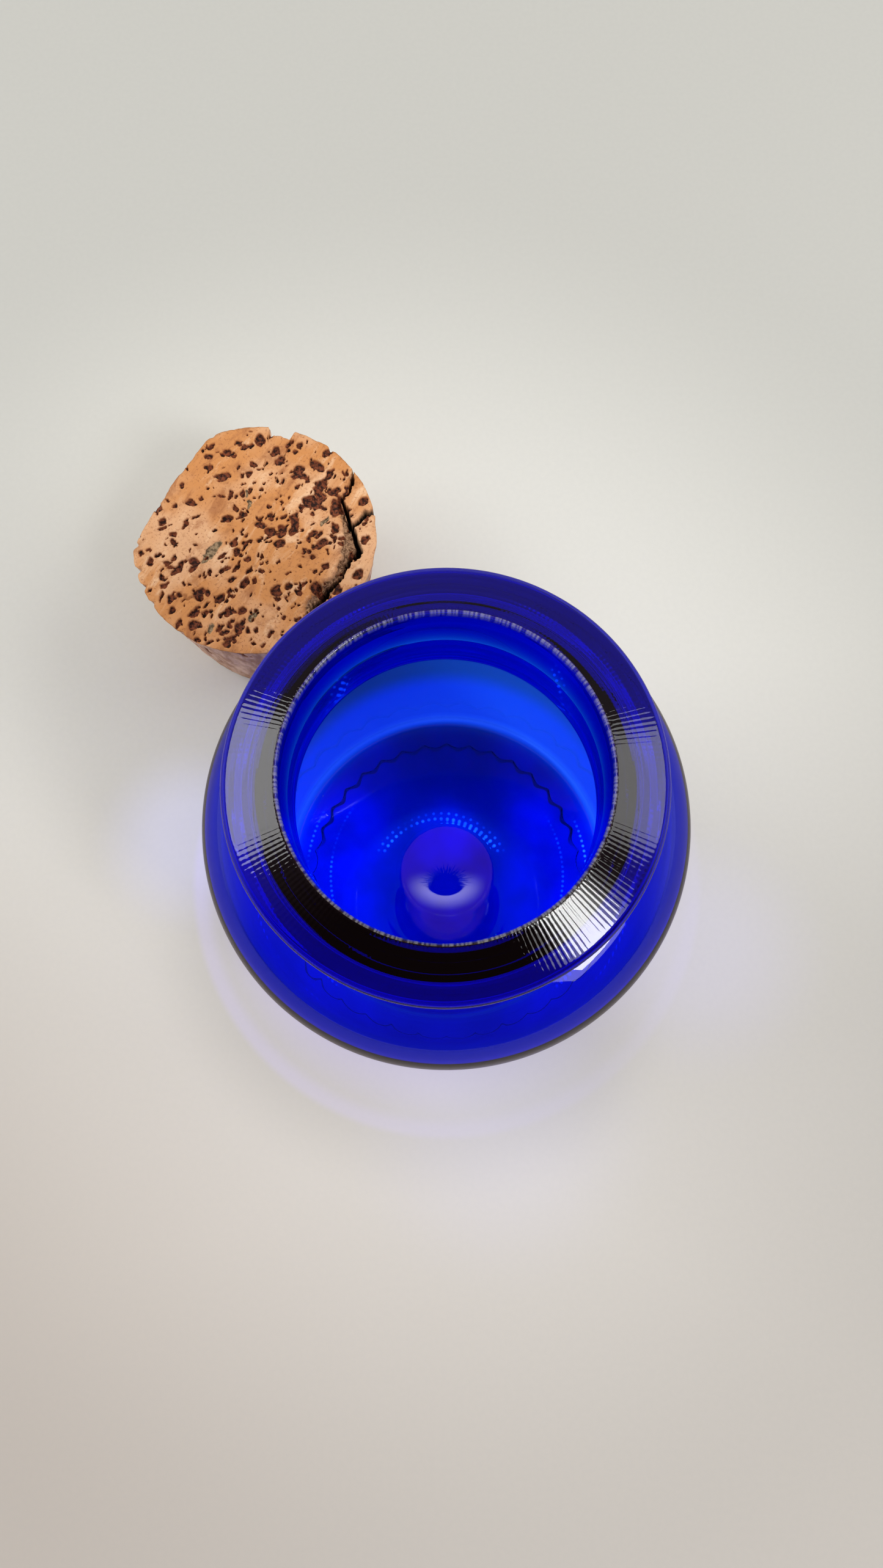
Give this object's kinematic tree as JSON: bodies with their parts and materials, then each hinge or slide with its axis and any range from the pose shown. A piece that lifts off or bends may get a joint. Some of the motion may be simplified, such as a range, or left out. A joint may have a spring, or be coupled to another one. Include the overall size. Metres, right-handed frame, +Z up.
{
  "type": "glass jar with cork stopper",
  "caption": "Wide-mouth cobalt-blue moulded glass storage jar with a heavy conical collar, and its tapered natural cork stopper standing beside it.",
  "frame": {"origin": "centre of the jar's bearing ring, on the jar's axis, at the height of the table", "axes": "+Z up along the jar's axis and out of its mouth; +Y towards the back, where the cork stands, and -X to the cork's side"},
  "size_m": [0.1282, 0.1601, 0.1265],
  "materials": {
    "cobalt_glass": "gloss",
    "natural_cork": "matte"
  },
  "bodies": {
    "jar": {"glass_jar": "cobalt_glass"},
    "cork": {"cork_stopper": "natural_cork"}
  },
  "joints": [
    {"name": "cork_lift", "type": "slide", "parent": "jar", "child": "cork", "axis": [0, 0, 1], "range_m": [0, 0.14]}
  ]
}
